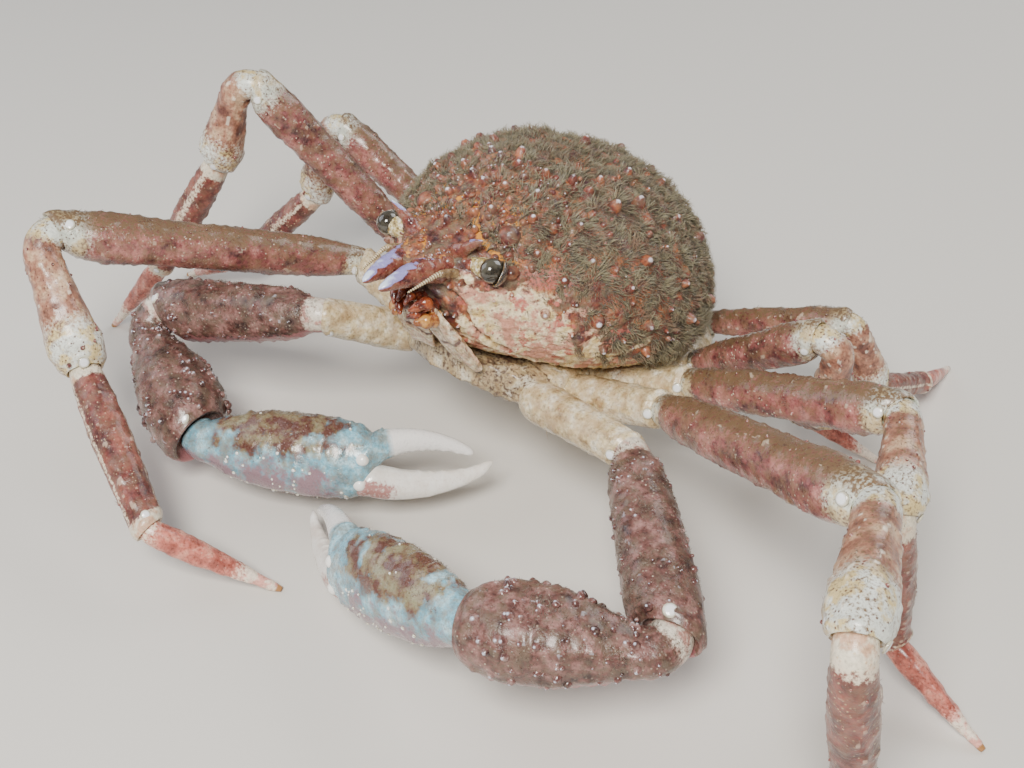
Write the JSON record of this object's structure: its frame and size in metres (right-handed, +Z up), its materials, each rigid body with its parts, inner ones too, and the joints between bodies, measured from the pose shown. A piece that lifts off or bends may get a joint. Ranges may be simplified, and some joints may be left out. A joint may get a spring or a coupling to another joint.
{
  "type": "sheep crab figure",
  "caption": "Sheep crab standing with its pincers folded in front: domed spiny carapace, paired rostral horns, long jointed legs.",
  "frame": {"origin": "centre of the bounding box at floor level", "axes": "+Z up, the head faces -Y, the animal's own left side is +X"},
  "size_m": [0.4766, 0.3734, 0.1488],
  "materials": {
    "carapace": "matte",
    "sternum": "satin",
    "abdomen": "satin",
    "mouthpart_left": "satin",
    "mouthpart_right": "satin",
    "palps": "gloss",
    "eye_left": "gloss",
    "antenna_left": "satin",
    "eye_right": "gloss",
    "antenna_right": "satin",
    "claw_left_base": "satin",
    "claw_left_merus": "matte",
    "claw_left_carpus": "matte",
    "claw_left_palm": "satin",
    "claw_left_dactyl": "gloss",
    "leg2_left_base": "satin",
    "leg2_left_merus": "satin",
    "leg2_left_carpus": "satin",
    "leg2_left_propodus": "satin",
    "leg2_left_dactyl": "satin",
    "leg3_left_base": "satin",
    "leg3_left_merus": "satin",
    "leg3_left_carpus": "satin",
    "leg3_left_propodus": "satin",
    "leg3_left_dactyl": "satin",
    "leg4_left_base": "satin",
    "leg4_left_merus": "satin",
    "leg4_left_carpus": "satin",
    "leg4_left_propodus": "satin",
    "leg4_left_dactyl": "satin",
    "leg5_left_base": "satin",
    "leg5_left_merus": "satin",
    "leg5_left_carpus": "satin",
    "leg5_left_propodus": "satin",
    "leg5_left_dactyl": "satin",
    "claw_right_base": "satin",
    "claw_right_merus": "matte",
    "claw_right_carpus": "matte",
    "claw_right_palm": "satin",
    "claw_right_dactyl": "gloss",
    "leg2_right_base": "satin",
    "leg2_right_merus": "satin",
    "leg2_right_carpus": "satin",
    "leg2_right_propodus": "satin",
    "leg2_right_dactyl": "satin",
    "leg3_right_base": "satin",
    "leg3_right_merus": "satin",
    "leg3_right_carpus": "satin",
    "leg3_right_propodus": "satin",
    "leg3_right_dactyl": "satin",
    "leg4_right_base": "satin",
    "leg4_right_merus": "satin",
    "leg4_right_carpus": "satin",
    "leg4_right_propodus": "satin",
    "leg4_right_dactyl": "satin",
    "leg5_right_base": "satin",
    "leg5_right_merus": "satin",
    "leg5_right_carpus": "satin",
    "leg5_right_propodus": "satin",
    "leg5_right_dactyl": "satin"
  },
  "bodies": {
    "root": {"carapace": "carapace", "sternum": "sternum", "abdomen": "abdomen", "mouthpart_left": "mouthpart_left", "mouthpart_right": "mouthpart_right", "palps": "palps", "eye_left": "eye_left", "antenna_left": "antenna_left", "eye_right": "eye_right", "antenna_right": "antenna_right", "claw_left_base": "claw_left_base", "claw_left_merus": "claw_left_merus", "claw_left_carpus": "claw_left_carpus", "claw_left_palm": "claw_left_palm", "claw_left_dactyl": "claw_left_dactyl", "leg2_left_base": "leg2_left_base", "leg2_left_merus": "leg2_left_merus", "leg2_left_carpus": "leg2_left_carpus", "leg2_left_propodus": "leg2_left_propodus", "leg2_left_dactyl": "leg2_left_dactyl", "leg3_left_base": "leg3_left_base", "leg3_left_merus": "leg3_left_merus", "leg3_left_carpus": "leg3_left_carpus", "leg3_left_propodus": "leg3_left_propodus", "leg3_left_dactyl": "leg3_left_dactyl", "leg4_left_base": "leg4_left_base", "leg4_left_merus": "leg4_left_merus", "leg4_left_carpus": "leg4_left_carpus", "leg4_left_propodus": "leg4_left_propodus", "leg4_left_dactyl": "leg4_left_dactyl", "leg5_left_base": "leg5_left_base", "leg5_left_merus": "leg5_left_merus", "leg5_left_carpus": "leg5_left_carpus", "leg5_left_propodus": "leg5_left_propodus", "leg5_left_dactyl": "leg5_left_dactyl", "claw_right_base": "claw_right_base", "claw_right_merus": "claw_right_merus", "claw_right_carpus": "claw_right_carpus", "claw_right_palm": "claw_right_palm", "claw_right_dactyl": "claw_right_dactyl", "leg2_right_base": "leg2_right_base", "leg2_right_merus": "leg2_right_merus", "leg2_right_carpus": "leg2_right_carpus", "leg2_right_propodus": "leg2_right_propodus", "leg2_right_dactyl": "leg2_right_dactyl", "leg3_right_base": "leg3_right_base", "leg3_right_merus": "leg3_right_merus", "leg3_right_carpus": "leg3_right_carpus", "leg3_right_propodus": "leg3_right_propodus", "leg3_right_dactyl": "leg3_right_dactyl", "leg4_right_base": "leg4_right_base", "leg4_right_merus": "leg4_right_merus", "leg4_right_carpus": "leg4_right_carpus", "leg4_right_propodus": "leg4_right_propodus", "leg4_right_dactyl": "leg4_right_dactyl", "leg5_right_base": "leg5_right_base", "leg5_right_merus": "leg5_right_merus", "leg5_right_carpus": "leg5_right_carpus", "leg5_right_propodus": "leg5_right_propodus", "leg5_right_dactyl": "leg5_right_dactyl"}
  },
  "joints": []
}
